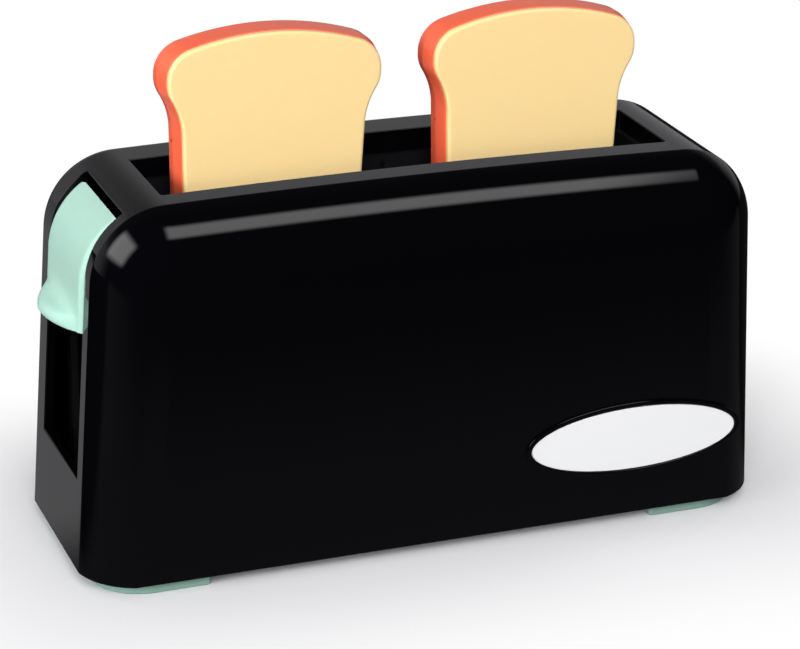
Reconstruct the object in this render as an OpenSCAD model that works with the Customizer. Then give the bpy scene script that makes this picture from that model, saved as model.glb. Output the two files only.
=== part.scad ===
// Toy pop-up toaster with a lever at its left end and two slices of bread.
// The housing is one moulding with an open bottom. A tray inside carries the
// bread, a crosshead ties the tray to the lever, and a spring lifts both.
// Origin: middle of the footprint on the floor, +Z up, front face towards -Y.
// All sizes are in millimetres.

/* [Body] */
// Length of the body along its bottom edge
body_l = 198; // [180:1:238]
// Width over the front and the rear face
body_w = 74; // [68:1:88]
// Height of the top above the floor
body_h = 106.4; // [98:0.2:128]
// Wall of the moulded housing
wall = 2.4; // [2:0.1:2.9]
// Slope of the two ends, which spread towards the bottom
end_draft = 3.4; // [1:0.1:5]
// Radius of the two top corners, seen from the front
corner_r = 21; // [19:0.5:26]
// Radius that rolls each face into the top and the ends
edge_r = 18.4; // [16:0.2:18.8]
// Width of the flat band between the two rolled edges
band_w = 44.8; // [44:0.2:54]
// Radius of the slight crown along the top
crown_r = 2800; // [1500:100:5000]
// Height of the bevel along the bottom of each face
skirt_h = 5.5; // [4:0.5:7]
// Depth of that bevel
skirt_in = 1; // [0.5:0.1:1.2]

/* [Bread opening] */
// Length of the opening in the top
opening_l = 145; // [130:1:160]
// Width of the opening
opening_w = 29.6; // [25:0.2:31]
// Depth of the lip that hangs from the edge of the opening
lip_d = 6.4; // [4:0.2:9]
// Thickness of that lip
lip_t = 1.8; // [1.2:0.1:2.2]
// Ledge that the well leaves inside the lip
ledge = 1.7; // [1:0.1:2.2]
// Wall of the well
well_wall = 1.6; // [1.2:0.1:2.2]

/* [Lever] */
// Width of the slot that the lever runs in
slot_w = 34.8; // [30:0.2:38]
// Height of the bottom of the slot above the floor
slot_z = 29; // [22:0.5:34]
// Length of roof left between the slot and the bread opening
slot_bridge = 11.1; // [9:0.1:14]
// Height of the lever, from its tab to its curved top
lever_h = 31.8; // [29:0.1:36]
// Thickness of the lever
lever_t = 2.2; // [1.6:0.1:2.6]
// Gap between the lever and each side of the slot
lever_gap = 0.3; // [0.2:0.05:0.6]
// Gap between the top of the lever and the top of the slot
lever_top_gap = 2; // [1.2:0.1:3]
// How far the thumb tab stands out at its middle
tab_out = 6.3; // [4:0.1:9]
// Height of the thumb tab
tab_h = 7.5; // [5:0.5:10]
// Travel of the lever from rest to its stop
travel = 39; // [30:1:40]

/* [Bread] */
// Height of a slice
bread_h = 61.5; // [50:0.5:72]
// Width of a slice at its straight sides
bread_w = 51.4; // [44:0.2:55]
// Width of a slice over its two lobes
bread_lobe_w = 59.8; // [52:0.2:66]
// Thickness of the crust half
crust_t = 8; // [6:0.5:9]
// Thickness of the crumb plate in front of it
crumb_t = 3; // [2:0.5:4]
// Height of a slice above the top of the body while the lever is up
bread_stand = 37.9; // [30:0.1:44]
// Distance between the middles of the two slices
bread_pitch = 74; // [68:1:78]

/* [Base] */
// Height of the feet below the body
foot_h = 4; // [3:0.5:6]
// Length of each foot along the body
foot_l = 30; // [22:1:40]
// Step from the outside of the body in to the outside of the feet
foot_step = 4; // [3:0.5:8]
// Thickness of the base plate
base_t = 2.4; // [2:0.1:3.2]

/* [Badge] */
// Length of the bare oval plate
badge_l = 62.4; // [40:0.2:66]
// Height of the oval plate
badge_h = 18.8; // [12:0.2:24]
// Width of the raised rim round the plate
badge_rim = 1.5; // [1:0.1:2.5]
// Height of the plate's middle above the floor
badge_z = 27; // [20:0.5:60]
// Gap from the plate to the end of the body
badge_end = 10.8; // [8:0.2:40]

/* [Spring] */
// Wire of the return spring
wire_d = 1.1; // [0.8:0.1:1.4]
// Diameter of a turn, measured at the middle of the wire
spring_d = 11; // [9:0.2:14]
// Number of turns
spring_turns = 11; // [7:1:14]

/* [Fit] */
// Gap between pieces that slide on each other
slide_gap = 0.4; // [0.3:0.05:0.6]
// Gap between pieces that only rest on each other
rest_gap = 0.3; // [0.2:0.05:0.5]
// Diameter of the screws' shanks
screw_d = 2.6; // [2.2:0.1:3]

/* [Hidden] */
$fn = 48;

eps = 0.5;
corner_n = 8;
crown_n = 6;
roll_n = 7;

// Where the rolled edges and the corners turn
roll_y = body_w/2 - edge_r;
roll_in = sqrt(pow(edge_r, 2) - pow(band_w/2 - roll_y, 2));
corner_x = body_l/2 - corner_r/cos(end_draft)
    - (body_h - corner_r - foot_h)*tan(end_draft);
crown_a = asin(corner_x/(crown_r - corner_r));
corner_z = body_h - crown_r + (crown_r - corner_r)*cos(crown_a);

// Levels inside the body
base_z = foot_h + base_t;
lip_z = body_h - lip_d;
roof_z = body_h - wall;
well_l = opening_l - 2*ledge;
well_w = opening_w - 2*ledge;
flange_t = 1.6;
flange_edge = 6.4;
rib_out = 1.6;
rib_t = 2;

// Lever, crosshead and tray, at rest. The lever follows the corner of the body
// and ends at lever_a, an angle round that corner.
slot_end_x = -opening_l/2 - slot_bridge;
lever_w = slot_w - 2*lever_gap;
lever_side_r = 1.4;
lever_a = acos((slot_end_x - lever_top_gap + corner_x)/corner_r);
lever_z = corner_z + corner_r*sin(lever_a) - lever_h;
tab_round = 0.62*tab_h;
tab_edge_r = 1.2;
cross_h = 10;
cross_up = 5;
cross_z = lever_z + cross_up;
cross_t = 2.4;
cross_in = 8.2;
cross_x = end_x(cross_z + cross_h) + cross_in;
arm_w = 12;
arm_h = 8;
arm_z = cross_z + 1;
tray_t = 2.4;
tray_top = body_h + bread_stand - bread_h - rest_gap;
tray_z = tray_top - tray_t;
tray_w = well_w - 2*rib_out - 2*slide_gap;
tray_l = well_l - 4*slide_gap;
tray_rib_h = 3.4;
low_gap = 2;
well_bottom = tray_z - travel - low_gap;
cradle_h = 11;
cradle_t = 1.4;
stop_w = 6;
divider_l = bread_pitch - bread_w - 2*slide_gap;
bread_t = crust_t + crumb_t;
well_rib_x = 0.27*bread_pitch;
fin_l = 6;
fin_x = 0.36*bread_w;
drain_l = 10;
drain_x = 0.18*bread_w;

// Outline of a slice, the step of its crumb and its parting line, and its pegs
lobe_r = 7.5;
lobe_rise = 10.3;
neck_r = 20;
slice_corner = 2.5;
crumb_in = 0.5;
parting_in = 0.15;
parting_t = 0.55*crust_t;
peg_d = 4;
peg_l = 3;

// Lever guide: two channels that open towards each other
shoe_gap = slide_gap;
shoe_t = cross_t + 1.2;
shoe_out = 4;
shoe_h = cross_h + 2;
tongue = shoe_out - 1.4;
channel_wall = 1.8;
channel_t = shoe_t + 2*shoe_gap + 2*channel_wall;
channel_in = slot_w/2 + 1;
channel_out = channel_in + shoe_out + shoe_gap + channel_wall - 1;
channel_x = cross_x + cross_t/2 - channel_t/2;
guide_top = cross_z + cross_h + 3;
guide_foot_t = 2.4;
guide_foot_l = 15;

// Screws and their bosses
hole_d = screw_d + 0.6;
pilot_d = screw_d + 0.1;
head_d = 2*screw_d;
head_t = 1.7;
boss_d = screw_d + 4.6;
roof_boss_x = opening_l/3;
roof_boss_y = opening_w/2 + lip_t + boss_d/2 - 0.5;
post_x = 0.3*body_l;
post_y = body_w/2 - wall - boss_d/2 - 1;
post_h = 24;
head_sink = 1;
base_bite = 9.6;
lever_bite = 3.6;
arm_bite = 6.4;
lever_boss_d = screw_d + 3.8;
lever_boss_y = 11;
arm_screw_y = arm_w/4;
window_w = 2*lever_boss_y + head_d + 2;
foot_peg_d = 4;
foot_peg_y = body_w/2 - 9;
foot_peg_h = base_t + 1.6;

// Spring and what holds it
spring_hub_id = spring_d + wire_d + 2*slide_gap;
spring_hub_od = spring_hub_id + 3;
spring_hub_h = 5;
spring_post_d = spring_d - wire_d - 2*slide_gap - 1;
spring_post_h = tray_z - travel - spring_hub_h - low_gap - base_z;

// Badge
badge_x = body_l/2 - badge_end - badge_l/2;
badge_t = 0.9;
badge_sink = 0.4;
badge_proud = 0.8;
badge_pad = 4;

// Outside of the left end at a height, below the corner
function end_x(z) = -body_l/2 + (z - foot_h)*tan(end_draft);

function steps(a, b, n) = [for (i = [0:n]) a + (b - a)*i/n];

// Points of an arc round c, from angle a to angle b
function arc(c, r, a, b, n) =
    [for (t = steps(a, b, n)) c + r*[cos(t), sin(t)]];

// Front outline of the body, moved in by d, from the lower left corner
// over the top to the lower right corner
function outline(d, low) =
    let (
        left = arc([-corner_x, corner_z], corner_r - d,
            180 - end_draft, 90 + crown_a, corner_n),
        crown = arc([0, body_h - crown_r], crown_r - d,
            90 + crown_a, 90 - crown_a, crown_n),
        top = [for (i = [1:crown_n - 1]) crown[i]],
        right = [for (i = [corner_n:-1:0]) [-left[i].x, left[i].y]],
        foot_x = left[0].x - (left[0].y - low)*tan(end_draft)
    )
    concat([[foot_x, low]], left, top, right, [[-foot_x, low]]);

// Solid form of the body, moved in by d on every side, down to a level.
// Each ring is the outline at one angle of the rolled edge.
module body_form(d, low) {
    r = edge_r - d;
    crease = acos((roll_in - d)/r);
    rear = steps(crease, 90, roll_n);
    rolls = concat(
        [for (i = [roll_n:-1:0]) [-1, rear[i]]],
        [for (a = rear) [1, a]]);
    n = len(outline(0, 0));
    last = len(rolls) - 1;
    points = [for (k = rolls) let (y = k[0]*(roll_y + r*sin(k[1])))
        for (p = outline(roll_in - r*cos(k[1]), low)) [p.x, y, p.y]];
    sides = [for (j = [0:last - 1], i = [0:n - 1]) let (m = (i + 1) % n)
        [j*n + i, (j + 1)*n + i, (j + 1)*n + m, j*n + m]];
    front = [for (i = [0:n - 1]) i];
    back = [for (i = [n - 1:-1:0]) last*n + i];
    polyhedron(points, concat([front, back], sides), convexity = 4);
}

// Flat oval, in the X and Z directions, with its front at -y
module oval(l, h, y_front, t) {
    translate([badge_x, y_front, badge_z]) rotate([-90, 0, 0])
        scale([1, h/l, 1]) cylinder(d = l, h = t);
}

// Screw along +Z with the bearing face of its head at the origin
module screw(length) {
    translate([0, 0, -head_t]) cylinder(d = head_d, h = head_t);
    translate([0, 0, -0.1]) cylinder(d = screw_d, h = length + 0.1);
}

module roof_spots() {
    for (x = [-1, 1], y = [-1, 1])
        translate([x*roof_boss_x, y*roof_boss_y, 0]) children();
}

module post_spots() {
    for (x = [-1, 1], y = [-1, 1])
        translate([x*post_x, y*post_y, 0]) children();
}

module guide_spots() {
    for (y = [-1, 1])
        translate([channel_x + guide_foot_l - head_d/2 - 1, y*(channel_in - 3), 0])
            children();
}

module arm_spots() {
    for (y = [-1, 1])
        translate([0, y*arm_screw_y, arm_z + arm_h/2]) rotate([0, 90, 0]) children();
}

module foot_spots(side) {
    for (y = [-1, 1])
        translate([side*(body_l/2 - foot_step - foot_l/2), y*foot_peg_y, 0])
            children();
}

// Posts for the base screws, each tied to its face by a rib
module posts() {
    translate([0, 0, base_z]) {
        post_spots() cylinder(d = boss_d, h = post_h);
        for (x = [-1, 1], y = [-1, 1])
            translate([x*post_x - rib_t/2, y > 0 ? post_y : -body_w/2 + wall - eps, 0])
                cube([rib_t, body_w/2 - wall + eps - post_y, post_h]);
    }
}

module bevel() {
    slope = skirt_in/skirt_h;
    for (m = [0, 1]) mirror([0, m, 0])
        rotate([90, 0, 90]) translate([0, 0, -body_l])
            linear_extrude(height = 2*body_l) polygon([
                [body_w/2, foot_h + skirt_h],
                [body_w/2 - skirt_in - slope, foot_h - 1],
                [body_w/2 + 5, foot_h - 1],
                [body_w/2 + 5, foot_h + skirt_h]
            ]);
}

module housing() {
    lip_top = roof_z + eps;
    color("#17171b") difference() {
        union() {
            difference() {
                body_form(0, foot_h);
                body_form(wall, foot_h - 3);
            }
            translate([-opening_l/2 - lip_t, -opening_w/2 - lip_t, lip_z])
                cube([opening_l + 2*lip_t, opening_w + 2*lip_t, lip_top - lip_z]);
            translate([0, 0, lip_z]) roof_spots()
                cylinder(d = boss_d, h = lip_top - lip_z);
            posts();
            oval(badge_l + 2*badge_rim, badge_h + 2*badge_rim,
                -body_w/2 - badge_proud, badge_pad + badge_proud);
        }
        translate([-opening_l/2, -opening_w/2, lip_z - 1])
            cube([opening_l, opening_w, lip_d + 5]);
        translate([-body_l, -slot_w/2, slot_z])
            cube([body_l + slot_end_x, slot_w, body_h]);
        bevel();
        oval(badge_l + rest_gap, badge_h + rest_gap,
            -body_w/2 - badge_proud - 1, badge_proud + 1 + badge_sink);
        translate([0, 0, lip_z - 1]) roof_spots()
            cylinder(d = pilot_d, h = lip_d - wall + 0.6);
        translate([0, 0, base_z - 1]) post_spots()
            cylinder(d = pilot_d, h = base_bite + 3.4);
    }
}

module badge_plate() {
    color("#dfe1e6")
        oval(badge_l, badge_h, -body_w/2 + badge_sink - badge_t, badge_t);
}

module base_plate() {
    rib_h = 3;
    color("#1d1d21") difference() {
        union() {
            intersection() {
                body_form(wall + rest_gap, foot_h);
                translate([-body_l, -body_w, 0])
                    cube([2*body_l, 2*body_w, base_z]);
            }
            translate([0, 0, base_z - eps])
                cylinder(d = spring_post_d, h = spring_post_h + eps);
            for (y = [-1, 1])
                translate([-post_x + 6, y*(body_w/4) - rib_t/2, base_z - eps])
                    cube([2*post_x - 12, rib_t, rib_h + eps]);
        }
        translate([0, 0, foot_h - 1]) {
            post_spots() cylinder(d = hole_d, h = base_t + 2);
            post_spots() cylinder(d = head_d + 1, h = 1 + head_sink);
            guide_spots() cylinder(d = pilot_d, h = base_t + 2);
            for (s = [-1, 1])
                foot_spots(s) cylinder(d = foot_peg_d + 0.2, h = base_t + 2);
        }
    }
}

module foot(side) {
    inner_x = body_l/2 - foot_step - foot_l;
    color("#a9d3c1") union() {
        intersection() {
            body_form(foot_step, 0);
            translate([side > 0 ? inner_x : -body_l, -body_w, 0])
                cube([body_l - inner_x, 2*body_w, foot_h]);
        }
        translate([0, 0, foot_h - eps]) foot_spots(side)
            cylinder(d = foot_peg_d, h = foot_peg_h + eps);
    }
}

module foot_left() { foot(-1); }

module foot_right() { foot(1); }

module base_screws() {
    color("#9a9ca2") translate([0, 0, foot_h + head_sink]) post_spots()
        screw(base_t + base_bite);
}

// Tube that the bread drops through, hung from the roof by its flange
module bread_well() {
    flange_x = well_l/2 + flange_edge;
    flange_y = roof_boss_y + boss_d/2;
    color("#222227") difference() {
        union() {
            translate([-well_l/2 - well_wall, -well_w/2 - well_wall, well_bottom])
                cube([well_l + 2*well_wall, well_w + 2*well_wall, lip_z - well_bottom]);
            translate([-flange_x, -flange_y, lip_z - flange_t])
                cube([2*flange_x, 2*flange_y, flange_t]);
        }
        difference() {
            translate([-well_l/2, -well_w/2, well_bottom - 1])
                cube([well_l, well_w, body_h]);
            for (x = [-1, 1], u = [-1, 1], y = [-1, 1])
                translate([x*bread_pitch/2 + u*well_rib_x - rib_t/2,
                    y > 0 ? well_w/2 - rib_out : -well_w/2 - eps, well_bottom - 2])
                    cube([rib_t, rib_out + eps, lip_z - well_bottom - 1]);
            for (y = [-1, 1])
                translate([-rib_t/2, y > 0 ? well_w/2 - 2*rib_out : -well_w/2 - eps,
                    tray_top + 3])
                    cube([rib_t, 2*rib_out + eps, lip_z - tray_top - 4]);
        }
        translate([-body_l/2, -arm_w/2 - 1, well_bottom - 1])
            cube([(body_l - well_l)/2 + eps, arm_w + 2, arm_z + arm_h + 2 - well_bottom]);
        translate([0, 0, lip_z - flange_t - 1]) roof_spots()
            cylinder(d = hole_d, h = flange_t + 2);
    }
}

module well_screws() {
    color("#9a9ca2") translate([0, 0, lip_z - flange_t]) roof_spots()
        screw(flange_t + lip_d - wall - 1);
}

// Bracket with two channels for the crosshead and a window for the arm
module lever_guide() {
    web_x = channel_x + channel_t - channel_wall;
    groove = shoe_t + 2*shoe_gap;
    color("#1b1b20") difference() {
        union() {
            for (m = [0, 1]) mirror([0, m, 0])
                translate([channel_x, channel_in, base_z])
                    cube([channel_t, channel_out - channel_in, guide_top - base_z]);
            translate([web_x, -channel_out, base_z])
                cube([channel_wall, 2*channel_out, guide_top - base_z]);
            translate([channel_x, -channel_out, base_z])
                cube([guide_foot_l, 2*channel_out, guide_foot_t]);
        }
        for (m = [0, 1]) mirror([0, m, 0])
            translate([channel_x + channel_wall, channel_in - 1, base_z + guide_foot_t])
                cube([groove, shoe_out + shoe_gap, guide_top]);
        translate([web_x - 1, -window_w/2, arm_z - travel - 2])
            cube([channel_wall + 2, window_w, travel + arm_h + 2 + rest_gap]);
        guide_spots() translate([0, 0, base_z - 1])
            cylinder(d = hole_d, h = guide_foot_t + 2);
    }
}

module guide_screws() {
    color("#9a9ca2") translate([0, 0, base_z + guide_foot_t]) guide_spots()
        mirror([0, 0, 1]) screw(guide_foot_t + base_t - 0.4);
}

// Seat for one slice: three pairs of fins, and a stop at its outer side
module cradle(side) {
    x = side*bread_pitch/2;
    fin_y = bread_t/2 + slide_gap;
    for (u = [-1, 0, 1], y = [-1, 1])
        translate([x + u*fin_x - fin_l/2, y > 0 ? fin_y : -fin_y - cradle_t, tray_top - eps])
            cube([fin_l, cradle_t, cradle_h + eps]);
    translate([x + side*(bread_w/2 + slide_gap + cradle_t/2) - cradle_t/2, -stop_w/2,
        tray_top - eps])
        cube([cradle_t, stop_w, cradle_h/2 + eps]);
}

// Tray under the bread, with the arm that reaches out to the crosshead
module bread_tray() {
    arm_x = cross_x + cross_t;
    color("#202025") difference() {
        union() {
            translate([-tray_l/2, -tray_w/2, tray_z]) cube([tray_l, tray_w, tray_t]);
            for (y = [-1, 1])
                translate([-tray_l/2, y*(tray_w/2 - rib_t/2) - rib_t/2, tray_z - tray_rib_h])
                    cube([tray_l, rib_t, tray_rib_h + eps]);
            translate([0, 0, tray_z - spring_hub_h])
                cylinder(d = spring_hub_od, h = spring_hub_h + eps);
            for (s = [-1, 1]) cradle(s);
            translate([-divider_l/2, -stop_w/2, tray_top - eps])
                cube([divider_l, stop_w, cradle_h/2 + eps]);
            translate([arm_x, -arm_w/2, arm_z]) cube([-tray_l/2 + 6 - arm_x, arm_w, arm_h]);
        }
        translate([0, 0, tray_z - spring_hub_h - 1])
            cylinder(d = spring_hub_id, h = spring_hub_h + 1);
        for (s = [-1, 1], u = [-1, 1])
            translate([s*bread_pitch/2 + u*drain_x - drain_l/2, -fin_l/2, tray_z - 1])
                cube([drain_l, fin_l, tray_t + 2]);
        translate([arm_x - 1, 0, 0]) arm_spots() cylinder(d = pilot_d, h = arm_bite + 2.6);
    }
}

// Bar across the end of the arm, with a tongue at each end for its shoe
module crosshead() {
    color("#26262b") difference() {
        union() {
            translate([cross_x, -channel_in + 1, cross_z])
                cube([cross_t, 2*channel_in - 2, cross_h]);
            translate([cross_x + 0.2, -channel_in - tongue + 1, cross_z + 1.2])
                cube([cross_t - 0.4, 2*(channel_in + tongue - 1), cross_h - 2.4]);
        }
        for (y = [-1, 1])
            translate([cross_x - 1, y*lever_boss_y, cross_z + cross_h/2])
                rotate([0, 90, 0]) cylinder(d = hole_d, h = cross_t + 2);
        translate([cross_x - 1, 0, 0]) arm_spots() cylinder(d = hole_d, h = cross_t + 2);
    }
}

module arm_screws() {
    color("#9a9ca2") translate([cross_x, 0, 0]) arm_spots() screw(cross_t + arm_bite);
}

// Slippery blocks on the ends of the crosshead
module guide_shoes() {
    color("#d8d8d2") for (m = [0, 1]) mirror([0, m, 0]) difference() {
        translate([cross_x + cross_t/2 - shoe_t/2, channel_in - 0.8, cross_z - 1])
            cube([shoe_t, shoe_out - 0.6, shoe_h]);
        translate([cross_x + 0.15, channel_in - 2, cross_z + 1.15])
            cube([cross_t - 0.3, tongue + 1.1, cross_h - 2.3]);
    }
}

// Cross-section of the lever: X is the distance from the corner's middle, and
// the two outer edges are rounded
module lever_profile() {
    r = lever_side_r;
    translate([corner_r - lever_t, -lever_w/2]) square([lever_t - r, lever_w]);
    translate([corner_r - lever_t, r - lever_w/2]) square([lever_t, lever_w - 2*r]);
    for (y = [-1, 1])
        translate([corner_r - r, y*(lever_w/2 - r)]) circle(r = r, $fn = 24);
}

// The lever's strip: round the corner, then down along the end of the body
module lever_strip() {
    run = corner_z + corner_r*sin(end_draft) - lever_z + lever_t;
    intersection() {
        translate([-corner_x, 0, corner_z]) rotate([90, 0, 0]) union() {
            rotate([0, 0, lever_a])
                rotate_extrude(angle = 180 - end_draft - lever_a) lever_profile();
            rotate([0, 0, 180 - end_draft]) translate([0, run, 0]) rotate([90, 0, 0])
                linear_extrude(height = run) lever_profile();
        }
        translate([-body_l, -body_w, lever_z]) cube([body_l, 2*body_w, body_h]);
    }
}

// Thumb tab: a crescent in plan, rounded from its top down to a flat underside
module lever_tab() {
    chord = lever_w/2;
    r = (pow(chord, 2) + pow(tab_out, 2))/(2*tab_out);
    face_x = end_x(lever_z);
    r2 = tab_edge_r;
    intersection() {
        translate([face_x - tab_out + r, 0, lever_z]) rotate_extrude() union() {
            translate([0, r2]) square([r, tab_h - r2 - tab_round]);
            square([r - r2, tab_h]);
            translate([r - r2, r2]) circle(r = r2, $fn = 24);
            intersection() {
                translate([r - tab_round, tab_h - tab_round]) circle(r = tab_round);
                square([r, tab_h]);
            }
        }
        translate([face_x - tab_out - 1, -chord, lever_z - 1])
            cube([tab_out + 2, lever_w, tab_h + 2]);
    }
}

module lever() {
    boss_x = end_x(cross_z + cross_h/2) + lever_t - 0.6;
    color("#b4dfcd") difference() {
        union() {
            lever_strip();
            lever_tab();
            for (y = [-1, 1])
                translate([boss_x, y*lever_boss_y, cross_z + cross_h/2])
                    rotate([0, 90, 0]) cylinder(d = lever_boss_d, h = cross_x - boss_x);
            for (y = [-1, 1])
                translate([boss_x, y*lever_boss_y - rib_t/2, cross_z - 2])
                    cube([cross_x - boss_x - 1, rib_t, cross_h + 4]);
        }
        for (y = [-1, 1])
            translate([boss_x + 1, y*lever_boss_y, cross_z + cross_h/2])
                rotate([0, 90, 0]) cylinder(d = pilot_d, h = cross_x - boss_x);
    }
}

module lever_screws() {
    color("#9a9ca2") for (y = [-1, 1])
        translate([cross_x + cross_t, y*lever_boss_y, cross_z + cross_h/2])
            rotate([0, -90, 0]) screw(cross_t + lever_bite);
}

// Coil of one unbroken wire, wound closer over its first and its last turn
module return_spring() {
    sides = 6;
    per_turn = 12;
    total = spring_turns*per_turn;
    low = base_z + wire_d/2 + 0.1;
    high = tray_z - wire_d/2 - 0.1;
    close_pitch = wire_d + 0.6;
    open_pitch = (high - low - 2*close_pitch)/(spring_turns - 2);
    function rise(t) = low + close_pitch*min(t, 1)
        + open_pitch*max(0, min(t, spring_turns - 1) - 1)
        + close_pitch*max(0, t - spring_turns + 1);
    points = [for (i = [0:total]) let (a = 360*i/per_turn)
        for (k = [0:sides - 1]) let (b = 360*k/sides, r = spring_d/2 + wire_d/2*cos(b))
            [r*cos(a), r*sin(a), rise(i/per_turn) + wire_d/2*sin(b)]];
    ring = [for (i = [0:total - 1], k = [0:sides - 1]) let (m = (k + 1) % sides)
        each [[i*sides + k, (i + 1)*sides + k, i*sides + m],
            [i*sides + m, (i + 1)*sides + k, (i + 1)*sides + m]]];
    start = [for (k = [0:sides - 1]) k];
    end = [for (k = [sides - 1:-1:0]) total*sides + k];
    color("#b9bcc2") polyhedron(points, concat([start, end], ring), convexity = 8);
}

// Outline of a slice moved in by d: straight sides, two lobes and a domed top
function slice_outline(d) =
    let (
        side = bread_w/2,
        lobe = [bread_lobe_w/2 - lobe_r, bread_h - lobe_rise],
        dome_r = (pow(lobe.x, 2) + pow(lobe_rise, 2) - pow(lobe_r, 2))
            /(2*(lobe_rise - lobe_r)),
        neck_x = side + neck_r,
        neck_z = lobe.y - sqrt(pow(neck_r + lobe_r, 2) - pow(neck_x - lobe.x, 2)),
        dome_z = bread_h - dome_r,
        join_a = atan2(neck_z - lobe.y, neck_x - lobe.x),
        top_a = atan2(lobe.y - dome_z, lobe.x),
        foot = arc([side - slice_corner, slice_corner], slice_corner - d, -90, 0, 4),
        neck = arc([neck_x, neck_z], neck_r + d, 180, 180 + join_a, 5),
        lobe_arc = arc(lobe, lobe_r - d, join_a, top_a, 9),
        dome = arc([0, dome_z], dome_r - d, top_a, 90, 5),
        half = concat(foot, neck, lobe_arc, [for (i = [1:4]) dome[i]])
    )
    concat(half, [dome[5]], [for (i = [len(half) - 1:-1:0]) [-half[i].x, half[i].y]]);

module slice(x, d, y_front, t) {
    translate([x, y_front + t, tray_top + rest_gap]) rotate([90, 0, 0])
        linear_extrude(height = t) polygon(slice_outline(d));
}

module slice_pegs(x, y_back, d, t) {
    for (u = [-1, 1])
        translate([x + u*bread_w/4, y_back, tray_top + bread_h/2])
            rotate([-90, 0, 0]) cylinder(d = d, h = t);
}

module crust(x) {
    joint_y = -bread_t/2 + crumb_t;
    color("#f9744f") difference() {
        union() {
            slice(x, parting_in, joint_y, crust_t - parting_t + eps);
            slice(x, 0, joint_y + crust_t - parting_t, parting_t);
        }
        slice_pegs(x, joint_y - 1, peg_d + 0.4, peg_l + 2);
    }
}

module crumb(x) {
    joint_y = -bread_t/2 + crumb_t;
    color("#f8dea2") union() {
        slice(x, crumb_in, -bread_t/2, crumb_t);
        slice_pegs(x, joint_y - eps, peg_d, peg_l + eps);
    }
}

module bread_left_crust() { crust(-bread_pitch/2); }

module bread_left_crumb() { crumb(-bread_pitch/2); }

module bread_right_crust() { crust(bread_pitch/2); }

module bread_right_crumb() { crumb(bread_pitch/2); }

housing();
badge_plate();
base_plate();
foot_left();
foot_right();
base_screws();
bread_well();
well_screws();
lever_guide();
guide_screws();
crosshead();
guide_shoes();
bread_tray();
arm_screws();
lever();
lever_screws();
return_spring();
bread_left_crust();
bread_left_crumb();
bread_right_crust();
bread_right_crumb();
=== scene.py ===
"""Toy pop-up toaster with two slices of bread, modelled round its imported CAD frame."""
import math

import bmesh
import bpy
from bpy.props import FloatProperty, FloatVectorProperty, IntProperty, PointerProperty
from mathutils import Matrix, Vector


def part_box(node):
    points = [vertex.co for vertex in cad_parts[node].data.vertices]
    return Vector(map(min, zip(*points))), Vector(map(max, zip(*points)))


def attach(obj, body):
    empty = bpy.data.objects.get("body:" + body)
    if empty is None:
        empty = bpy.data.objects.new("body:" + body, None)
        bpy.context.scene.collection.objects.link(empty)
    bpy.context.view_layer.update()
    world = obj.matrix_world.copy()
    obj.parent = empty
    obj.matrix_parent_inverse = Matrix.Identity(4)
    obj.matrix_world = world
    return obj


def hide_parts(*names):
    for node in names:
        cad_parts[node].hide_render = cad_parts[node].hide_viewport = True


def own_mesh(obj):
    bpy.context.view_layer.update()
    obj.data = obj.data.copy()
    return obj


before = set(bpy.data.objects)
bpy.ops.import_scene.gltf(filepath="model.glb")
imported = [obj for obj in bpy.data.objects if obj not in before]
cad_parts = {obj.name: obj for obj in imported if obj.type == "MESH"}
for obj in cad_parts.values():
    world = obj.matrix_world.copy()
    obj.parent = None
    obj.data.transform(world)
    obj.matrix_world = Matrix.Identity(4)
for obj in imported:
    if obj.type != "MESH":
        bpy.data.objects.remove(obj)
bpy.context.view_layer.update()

bl_info = {
    "name": "Toy toaster",
    "version": (1, 0, 0),
    "blender": (4, 5, 0),
    "location": "View3D > Sidebar > Toaster",
    "description": "Models a toy pop-up toaster with a lever and two slices of bread",
    "category": "Add Mesh",
}

MM = 0.001
TINY = 0.02*MM      # places nearer than this count as the same
LEVEL = 0.001*MM    # points nearer in height than this lie in one row
CLOSE = 0.005*MM    # the ends of a drawn outline are merged within this
WELD = 0.002*MM     # doubles in a finished shape are merged within this
FACING = 0.9        # share of a face's normal along an axis, for a face that looks that way
SOFT = 3            # faces across a small rounding

# The lever's thumb tab: height above the lower edge in mm, and the share of its reach there
TAB_ROWS = ((0, 0.85), (0.30, 0.93), (0.75, 0.99), (1.3, 1.0), (1.8, 0.99), (2.4, 0.95),
            (3.0, 0.88), (3.5, 0.76), (3.9, 0.58), (4.3, 0.42), (4.9, 0.29), (5.7, 0.18),
            (6.6, 0.09), (7.5, 0.03), (8.4, 0.0))


# Sizes that come from the frame

def low(node):
    """Lowest corner of a frame node's box."""
    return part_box(node)[0]


def high(node):
    """Highest corner of a frame node's box."""
    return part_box(node)[1]


def middle_x(node):
    """Middle of a frame node's box along the body."""
    return (low(node).x + high(node).x)/2


# The two slices share their heights and depths
BREAD_BOTTOM = low("bread_left_crust").z
BREAD_BACK = high("bread_left_crust").y
BREAD_FRONT = low("bread_left_crumb").y
LEVER_BOTTOM = low("lever").z


# Kinds of settings

def length(name, description, default):
    """Setting in metres, shown as a length."""
    return FloatProperty(name=name, description=description, default=default, min=0, unit="LENGTH",
                         precision=4)


def colour(name, description, default):
    """Setting of three linear shares of light."""
    return FloatVectorProperty(name=name, description=description, default=default, size=3, min=0,
                               max=1, subtype="COLOR")


def angle(name, description, degrees):
    """Setting kept in radians, given here in degrees."""
    return FloatProperty(name=name, description=description, default=math.radians(degrees),
                         subtype="ANGLE")


def count(name, description, default):
    """Setting that counts faces or turns."""
    return IntProperty(name=name, description=description, default=default, min=1)


# Settings, in the scene

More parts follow.
